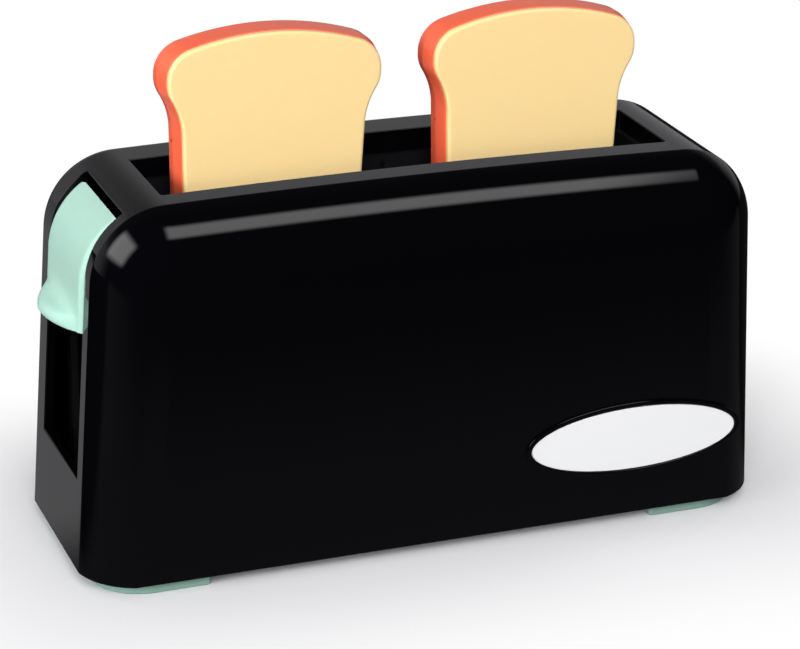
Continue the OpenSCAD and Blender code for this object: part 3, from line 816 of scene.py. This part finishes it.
class TOASTER_OT_bread(bpy.types.Operator):
    """Two slices of toy bread, each a crust with a crumb plate in front"""
    bl_idname = "toaster.bread"
    bl_label = "Bread"

    crumb_steps: count("Crumb steps", "Faces across the crumb's rounded edge", 6)
    crust_steps: count("Crust steps", "Faces across the crust's rounded edges", 5)

    def execute(self, context):
        s = context.scene.toaster_bread
        made = finishes(context.scene)
        for name, shift, lean, gate_z in (
                ("bread_left", -s.apart, s.lean, s.left_gate),
                ("bread_right", -s.right_apart, s.lean/3, s.right_gate)):
            node = name + "_crust"
            x = middle_x(node) + shift
            joint_y = BREAD_FRONT + s.crumb
            crust = self.crust(name + "_crust_shape", s, x, joint_y)
            finish_piece(crust, name, made["coral"], [node])
            crumb = self.outline(name + "_crumb_shape", s, x, joint_y, -s.inset, s.crumb - s.round)
            pick("FACE", lambda f: f.normal.y < -FACING)
            roll_edge(s.round, self.crumb_steps)
            bpy.ops.mesh.inset(thickness=s.margin)
            smooth(crumb, degrees=30)
            finish_piece(crumb, name, made["cream"], [name + "_crumb"])
            mark = self.gate_mark(name + "_gate_mark", s, crust, x, gate_z)
            finish_piece(mark, name, made["gate"])
            for piece in (crust, crumb, mark):
                self.tilt(piece, lean, (x, 0, BREAD_BOTTOM + s.tall/2))
                # The photograph's black top shows no picture of the bread.
                piece.visible_glossy = False
        return {"FINISHED"}

    def tilt(self, piece, lean, centre):
        """Leans a piece to the right about a place."""
        choose(piece)
        edit()
        bpy.ops.mesh.select_all(action="SELECT")
        bpy.ops.transform.rotate(value=-lean, orient_axis="Y", center_override=centre)
        bpy.ops.object.mode_set(mode="OBJECT")

    def crust(self, name, s, x, joint_y):
        """The coral body, whose sides slope out to the line where its mould parted."""
        seam = BREAD_BACK - s.parting
        back_narrower = 0.997
        piece = self.outline(name, s, x, seam, 0, TINY)
        widen = 1 + 2*s.belly/s.lobes
        bpy.ops.mesh.select_all(action="SELECT")
        bpy.ops.transform.resize(value=(widen, 1, 1), center_override=(x, seam, 0))
        for side, step, roll, part in (
                (-1, seam - joint_y - s.front_edge, s.front_edge, 1/widen),
                (1, s.parting - s.back_edge, s.back_edge, back_narrower)):
            pick("FACE", lambda f: f.normal.y*side > FACING)
            go(y=side*step)
            bpy.ops.transform.resize(value=(part, 1, 1), center_override=(x, seam, 0))
            roll_edge(roll, self.crust_steps)
            bpy.ops.mesh.inset(thickness=s.margin)
        outward()
        smooth(piece, degrees=8)
        return piece

    def gate_mark(self, name, s, crust, x, z):
        """Low disc where the plastic ran in, on the parting line at the slice's left side."""
        behind_seam, depth, step, dent = 0.3*MM, 0.5*MM, 0.12*MM, 0.08*MM
        start = Vector((x - s.lobes, BREAD_BACK - s.parting + behind_seam, z))
        found, place, *_ = crust.ray_cast(start, Vector((1, 0, 0)))
        if not found:
            raise RuntimeError("no side of the crust at the gate mark")
        fresh()
        bpy.ops.mesh.primitive_cylinder_add(vertices=20, radius=s.gate/2, depth=depth,
                                            location=place, rotation=(0, math.pi/2, 0))
        mark = bpy.context.object
        mark.name = mark.data.name = name
        settle()
        edit()
        pick("FACE", lambda f: f.normal.x < -FACING)
        bpy.ops.mesh.inset(thickness=step, depth=dent)
        outward()
        smooth(mark)
        return mark

    def outline(self, name, s, x, y, grow, deep):
        """Outline of a slice moved out by grow but for its bottom, extruded forward from y."""
        side, corner, neck_r = s.wide/2, s.heel, s.neck
        lobe_x, lobe_z = s.lobes/2 - s.lobe, s.tall - s.rise
        dome_r = (lobe_x**2 + s.rise**2 - s.lobe**2)/(2*(s.rise - s.lobe))
        neck_x, flank_z = side + neck_r, lobe_z - s.flank
        neck_z = flank_z - math.sqrt((neck_r + s.lobe)**2 - (neck_x - lobe_x)**2)
        join = math.degrees(math.atan2(neck_z - flank_z, neck_x - lobe_x))
        top = math.degrees(math.atan2(lobe_z - (s.tall - dome_r), lobe_x))
        z, foot = BREAD_BOTTOM, side - corner - s.taper
        heel_steps, neck_steps, flank_steps, lobe_steps, dome_steps = 6, 12, 10, 16, 26
        piece = start_point(name, (x - foot, y, z))
        turn((x - foot, y, z + corner + grow), 90, heel_steps)
        go(x=-s.taper, z=neck_z - corner - grow)
        turn((x - neck_x, y, z + neck_z), join, neck_steps)
        turn((x - lobe_x, y, z + flank_z), -join, flank_steps)
        go(z=s.flank)
        turn((x - lobe_x, y, z + lobe_z), top, lobe_steps)
        turn((x, y, z + s.tall - dome_r), 180 - 2*top, dome_steps)
        turn((x + lobe_x, y, z + lobe_z), top, lobe_steps)
        go(z=-s.flank)
        turn((x + lobe_x, y, z + flank_z), -join, flank_steps)
        turn((x + neck_x, y, z + neck_z), join, neck_steps)
        go(x=-s.taper, z=corner + grow - neck_z)
        turn((x + foot, y, z + corner + grow), 90, heel_steps)
        close_face()
        go(y=-deep)
        outward()
        return piece


class TOASTER_OT_feet(bpy.types.Operator):
    """The two mint feet, in a darker mint that paints the shade they lie in under the body"""
    bl_idname = "toaster.feet"
    bl_label = "Feet"

    corner_steps: count("Corner steps", "Faces round an outer corner", 14)

    def execute(self, context):
        s, body = context.scene.toaster_feet, context.scene.toaster_body
        for name, side in (("foot_left", -1), ("foot_right", 1)):
            a, b = low(name), high(name)
            top = body.foot + s.sunk
            outer, inner = (b.x, a.x) if side > 0 else (a.x, b.x)
            fresh()
            bpy.ops.mesh.primitive_cube_add(size=1, location=(middle_x(name), 0, top/2),
                                            scale=(b.x - a.x, b.y - a.y, top))
            piece = context.object
            piece.name = piece.data.name = name + "_pad"
            settle()
            edit()
            for x, radius, segments in ((outer, s.corner, self.corner_steps),
                                        (inner, s.inner, SOFT)):
                pick("EDGE", lambda e: abs(e.verts[0].co.z - e.verts[1].co.z) > MM
                     and abs(middle(e).x - x) < TINY)
                bpy.ops.mesh.bevel(offset=radius, segments=segments)
            pick("EDGE", lambda e: all(v.co.z < TINY for v in e.verts))
            bpy.ops.mesh.bevel(offset=s.sole, segments=SOFT)
            outward()
            smooth(piece)
            # The feet's darker mint is painted shade.
            finish_piece(piece, "body", finishes(context.scene)["foot"], [name])
        return {"FINISHED"}


class TOASTER_OT_badge(bpy.types.Operator):
    """Bare oval plate and the raised rim round it"""
    bl_idname = "toaster.badge"
    bl_label = "Badge"

    oval_steps: count("Oval steps", "Faces round the oval", 128)
    rim_steps: count("Rim steps", "Faces across the rounding of the rim", 4)

    def execute(self, context):
        s, body = context.scene.toaster_badge, context.scene.toaster_body
        made = finishes(context.scene)
        front = -body.wide/2
        rim = self.oval("badge_rim", s, s.rim, front - s.proud, front + s.root)
        pick("FACE", lambda f: f.normal.y < -FACING)
        bpy.ops.mesh.inset(thickness=s.rim)
        go(y=s.sunk + s.thick)
        self.round_front(front - s.proud, s.rim_round, self.rim_steps)
        outward()
        smooth(rim)
        finish_piece(rim, "body", made["black"])
        face = front - s.proud + s.sunk
        plate = self.oval("badge_face", s, -s.play, face, face + s.thick)
        self.round_front(face, s.edge, SOFT)
        outward()
        smooth(plate)
        finish_piece(plate, "body", made["silver"], ["badge_plate"])
        return {"FINISHED"}

    def round_front(self, y, radius, segments):
        """Rounds the sharp edges that lie at the front."""
        sharp_angle = 1
        pick("EDGE", lambda e: e.calc_face_angle(0) > sharp_angle and middle(e).y < y + TINY)
        bpy.ops.mesh.bevel(offset=radius, segments=segments)

    def oval(self, name, s, grow, y_front, y_back):
        """Upright oval disc, grown all round, in edit mode."""
        fresh()
        bpy.ops.mesh.primitive_cylinder_add(
            vertices=self.oval_steps, radius=0.5, depth=1, rotation=(math.pi/2, 0, 0),
            location=(s.x, (y_front + y_back)/2, s.z),
            scale=(s.long + 2*grow, s.tall + 2*grow, y_back - y_front))
        piece = bpy.context.object
        piece.name = piece.data.name = name
        settle()
        edit()
        return piece


class TOASTER_OT_spring(bpy.types.Operator):
    """Coil of the return spring, built at full length only, though the spring shortens as the lever
    goes down
    """
    bl_idname = "toaster.spring"
    bl_label = "Return spring"

    turn_steps: count("Turn steps", "Faces along one turn", 24)
    wire_steps: count("Wire steps", "Faces round the wire", 10)

    def execute(self, context):
        s = context.scene.toaster_spring
        bottom, top = low("return_spring").z, high("return_spring").z
        fresh()
        bpy.ops.mesh.primitive_circle_add(vertices=self.wire_steps, radius=s.wire/2,
                                          rotation=(math.pi/2, 0, 0))
        piece = context.object
        piece.name = piece.data.name = "spring_coil"
        settle()
        edit()
        bpy.ops.mesh.select_all(action="SELECT")
        bpy.ops.transform.translate(value=(s.coil/2, 0, bottom + s.wire/2))
        apply(piece, "SCREW", axis="Z", screw_offset=(top - bottom - s.wire)/s.turns,
              iterations=s.turns, steps=self.turn_steps, render_steps=self.turn_steps)
        edit()
        for end in (bottom + s.wire, top - s.wire):
            pick("EDGE", lambda e: e.is_boundary and abs(middle(e).z - end) < s.wire)
            bpy.ops.mesh.edge_face_add()
        outward()
        smooth(piece, degrees=50)
        finish_piece(piece, "body", finishes(context.scene)["steel"],
                     ["return_spring"])
        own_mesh(piece)
        return {"FINISHED"}


class TOASTER_OT_frame_finish(bpy.types.Operator):
    """Materials for the inner parts that come from the frame: mouldings, screws and shoes"""
    bl_idname = "toaster.frame_finish"
    bl_label = "Inner parts"

    def execute(self, context):
        made = finishes(context.scene)
        inner = ("base_plate", "bread_well", "lever_guide", "crosshead", "bread_tray")
        steel = ("base_screws", "well_screws", "guide_screws", "arm_screws", "lever_screws")
        for key, names in (("inner", inner), ("steel", steel), ("shoe", ("guide_shoes",))):
            for name in names:
                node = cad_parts[name]
                if not node.material_slots:
                    node.data.materials.append(made[key])
                for slot in node.material_slots:
                    slot.material = made[key]
        return {"FINISHED"}


class TOASTER_OT_stage(bpy.types.Operator):
    """Pale floor, soft lamps and the camera"""
    bl_idname = "toaster.stage"
    bl_label = "Stage"

    def execute(self, context):
        s = context.scene.toaster_stage
        fresh()
        bpy.ops.mesh.primitive_plane_add(size=s.floor, location=(0, 0, 0))
        floor = context.object
        floor.name = "floor"
        floor.data.materials.append(self.floor_material(s))
        self.lamps()
        self.world(context.scene)
        self.camera(context, s)
        context.scene.view_settings.view_transform = "Standard"
        return {"FINISHED"}

    def floor_material(self, s):
        """Pale floor, white to the camera away from the toaster. In reflections it is pale only
        behind the lever's end, as if dark cards stood in front and at the sides."""
        material, tree, shader = new_material("Pale floor")
        link = tree.links.new
        path = add(tree, "ShaderNodeLightPath")
        # Light that bounces finds the floor darker, so the black isn't lit from below.
        grey = add(tree, "ShaderNodeMix",
                   {"A": (0.88, 0.875, 0.89, 1), "B": (0.22, 0.22, 0.225, 1)}, data_type="RGBA")
        link(path.outputs["Is Diffuse Ray"], grey.inputs["Factor"])
        link(grey.outputs["Result"], shader.inputs["Base Color"])
        shader.inputs["Roughness"].default_value = 0.9
        shader.inputs["Specular IOR Level"].default_value = 0.1
        place = add(tree, "ShaderNodeTexCoord")
        split = add(tree, "ShaderNodeSeparateXYZ")
        link(place.outputs["Object"], split.inputs["Vector"])
        x, y = split.outputs["X"], split.outputs["Y"]

        # What the black mirrors: a slanted patch behind, and a faint strip in front.
        slant, patch_light, strip_light, rest_light = 0.45, 0.27, 0.07, 0.06
        left_edge, right_edge, front_edge = (-0.125, -0.10), (-0.05, 0.06), (-0.03, 0.03)
        strip_start, strip_end = (-0.25, -0.04), (-0.03, 0)
        across = maths(tree, "ADD", x, maths(tree, "MULTIPLY", y, slant))
        patch = maths(tree, "MULTIPLY", ramp(tree, across, *left_edge),
                      ramp(tree, across, *right_edge, 1, rest_light))
        behind = maths(tree, "MULTIPLY", ramp(tree, y, *front_edge, 0, patch_light), patch)
        front = maths(tree, "MULTIPLY", ramp(tree, y, *strip_start, 0, strip_light),
                      ramp(tree, y, *strip_end, 1, 0))
        glow = add(tree, "ShaderNodeEmission", {"Color": (0.97, 0.97, 1, 1)})
        link(maths(tree, "ADD", behind, front), glow.inputs["Strength"])

        # What the camera sees: the shaded floor near the toaster, then white.
        white = add(tree, "ShaderNodeEmission")
        out_x, out_y = [
            maths(tree, "MAXIMUM", maths(tree, "SUBTRACT", maths(tree, "ABSOLUTE", axis), half), 0)
            for axis, half in ((x, s.shade_long), (y, s.shade_wide))]
        far = maths(tree, "SQRT", maths(tree, "ADD", maths(tree, "MULTIPLY", out_x, out_x),
                                        maths(tree, "MULTIPLY", out_y, out_y)))
        clear = maths(tree, "MULTIPLY", ramp(tree, far, 0, s.fade), path.outputs["Is Camera Ray"])
        seen = add(tree, "ShaderNodeMixShader")
        link(clear, seen.inputs["Fac"])
        link(shader.outputs["BSDF"], seen.inputs[1])
        link(white.outputs["Emission"], seen.inputs[2])
        mirrored = add(tree, "ShaderNodeMixShader")
        link(path.outputs["Is Glossy Ray"], mirrored.inputs["Fac"])
        link(seen.outputs["Shader"], mirrored.inputs[1])
        link(glow.outputs["Emission"], mirrored.inputs[2])
        link(mirrored.outputs["Shader"], tree.nodes["Material Output"].inputs["Surface"])
        return material

    def lamps(self):
        """Two boxes that are seen in the gloss, and two fills that light what isn't black."""
        # Name, place, aim, size, watts, and the shares of the size over which a box fades
        for name, place, aim, size, power, fade in (
                ("top_softbox", (0.31, -0.35, 1.15), (0.31, -0.2, 0.06), (0.82, 0.58), 3.6,
                 (0.2, 0.3)),
                ("side_softbox", (-1.13, 0.06, 0.87), (0, 0, 0.06), (1.2, 0.95), 11,
                 (0.25, 0.25)),
                ("front_fill", (-0.35, -1.4, 1.05), (0, 0, 0.08), (1.2, 0.8), 25, None),
                ("left_fill", (-1.35, -0.45, 0.3), (0, 0, 0.08), (1.0, 0.6), 15, None)):
            fresh()
            bpy.ops.object.light_add(type="AREA", location=place)
            lamp = bpy.context.object
            lamp.name = name
            lamp.data.shape = "RECTANGLE"
            lamp.data.size, lamp.data.size_y = size
            lamp.data.energy = power
            lamp.rotation_mode = "QUATERNION"
            lamp.rotation_quaternion = (Vector(aim) - Vector(place)).to_track_quat("-Z", "Y")
            if fade:
                self.soften(lamp, *fade)
                lamp.visible_diffuse = False
            else:
                lamp.visible_glossy = False

    def soften(self, lamp, across, down):
        """Lets a lamp fade towards its four edges, over shares of its width and height."""
        lamp.data.use_nodes = True
        tree = lamp.data.node_tree
        place = add(tree, "ShaderNodeNewGeometry")
        split = add(tree, "ShaderNodeSeparateXYZ")
        tree.links.new(place.outputs["Parametric"], split.inputs["Vector"])
        strength = 1
        for axis, edge in (("X", across), ("Y", down)):
            for start, end in ((0, edge), (1, 1 - edge)):
                strength = ramp(tree, split.outputs[axis], start, end, 0, strength)
        tree.links.new(strength, tree.nodes["Emission"].inputs["Strength"])

    def world(self, scene):
        """White to the camera, even light on surfaces, and a bright low surround in reflections."""
        world = bpy.data.worlds.new("Studio")
        scene.world = world
        world.use_nodes = True
        tree = world.node_tree
        link = tree.links.new
        plain = tree.nodes["Background"]
        plain.inputs["Color"].default_value = (0.97, 0.975, 1, 1)
        plain.inputs["Strength"].default_value = 0.42
        seen = add(tree, "ShaderNodeBackground", {"Color": (1, 1, 1, 1), "Strength": 1})
        mirror = add(tree, "ShaderNodeBackground")
        place = add(tree, "ShaderNodeTexCoord")
        split = add(tree, "ShaderNodeSeparateXYZ")
        heights = add(tree, "ShaderNodeValToRGB")
        stops = heights.color_ramp.elements
        stops[0].position, stops[0].color = 0, (0.34, 0.33, 0.35, 1)
        stops[1].position, stops[1].color = 1, (0.01, 0.01, 0.01, 1)
        for at, value in ((0.35, 0.34), (0.43, 0.14), (0.64, 0.02)):
            stop = stops.new(at)
            stop.color = (value, value, value*1.03, 1)
        link(place.outputs["Generated"], split.inputs["Vector"])
        link(split.outputs["Z"], heights.inputs["Fac"])
        link(ramp(tree, split.outputs["Y"], 0.1, 0.6), mirror.inputs["Strength"])
        link(heights.outputs["Color"], mirror.inputs["Color"])
        path = add(tree, "ShaderNodeLightPath")
        first, second = add(tree, "ShaderNodeMixShader"), add(tree, "ShaderNodeMixShader")
        link(path.outputs["Is Glossy Ray"], first.inputs["Fac"])
        link(plain.outputs["Background"], first.inputs[1])
        link(mirror.outputs["Background"], first.inputs[2])
        link(path.outputs["Is Camera Ray"], second.inputs["Fac"])
        link(first.outputs["Shader"], second.inputs[1])
        link(seen.outputs["Background"], second.inputs[2])
        link(second.outputs["Shader"], tree.nodes["World Output"].inputs["Surface"])

    def camera(self, context, s):
        """Camera at the photograph's place, with its turn, height, lean and lens."""
        fresh()
        bpy.ops.object.camera_add(location=s.eye)
        camera = context.object
        a, e, r = s.azimuth, s.elevation, s.roll
        back = Vector((math.sin(a)*math.cos(e), -math.cos(a)*math.cos(e), math.sin(e)))
        right = Vector((math.cos(a), math.sin(a), 0))
        up = back.cross(right)
        across = right*math.cos(r) + up*math.sin(r)
        above = up*math.cos(r) - right*math.sin(r)
        turned = Matrix((across, above, back)).transposed()
        camera.matrix_world = Matrix.Translation(Vector(s.eye)) @ turned.to_4x4()
        camera.data.sensor_width = 36
        camera.data.lens = s.lens
        camera.data.clip_start = 0.01
        camera.data.clip_end = 50
        context.scene.camera = camera


class TOASTER_PT_panel(bpy.types.Panel):
    """Lists the toaster's sizes, finishes and operators"""
    bl_idname = "TOASTER_PT_panel"
    bl_label = "Toy toaster"
    bl_space_type = "VIEW_3D"
    bl_region_type = "UI"
    bl_category = "Toaster"

    def draw(self, context):
        layout = self.layout
        for name in GROUPS:
            box = layout.box()
            box.label(text=GROUPS[name].__name__)
            settings = getattr(context.scene, name)
            for key in GROUPS[name].__annotations__:
                box.prop(settings, key)
        for operator in OPERATORS:
            layout.operator(operator.bl_idname)


GROUPS = {
    "toaster_body": ToasterBody,
    "toaster_lever": ToasterLever,
    "toaster_bread": ToasterBread,
    "toaster_feet": ToasterFeet,
    "toaster_badge": ToasterBadge,
    "toaster_spring": ToasterSpring,
    "toaster_finish": ToasterFinish,
    "toaster_stage": ToasterStage,
}
OPERATORS = (
    TOASTER_OT_housing,
    TOASTER_OT_lever,
    TOASTER_OT_bread,
    TOASTER_OT_feet,
    TOASTER_OT_badge,
    TOASTER_OT_spring,
    TOASTER_OT_frame_finish,
    TOASTER_OT_stage,
)


def register():
    for group in GROUPS.values():
        bpy.utils.register_class(group)
    for name, group in GROUPS.items():
        setattr(bpy.types.Scene, name, PointerProperty(type=group))
    for kind in (*OPERATORS, TOASTER_PT_panel):
        bpy.utils.register_class(kind)


def unregister():
    for kind in reversed((*OPERATORS, TOASTER_PT_panel)):
        bpy.utils.unregister_class(kind)
    for name in GROUPS:
        delattr(bpy.types.Scene, name)
    for group in reversed(list(GROUPS.values())):
        bpy.utils.unregister_class(group)


def main():
    register()
    bpy.ops.toaster.stage()
    bpy.ops.toaster.housing()
    bpy.ops.toaster.lever()
    bpy.ops.toaster.bread()
    bpy.ops.toaster.feet()
    bpy.ops.toaster.badge()
    bpy.ops.toaster.spring()
    bpy.ops.toaster.frame_finish()
    bpy.context.view_layer.update()


if __name__ == "__main__":
    main()
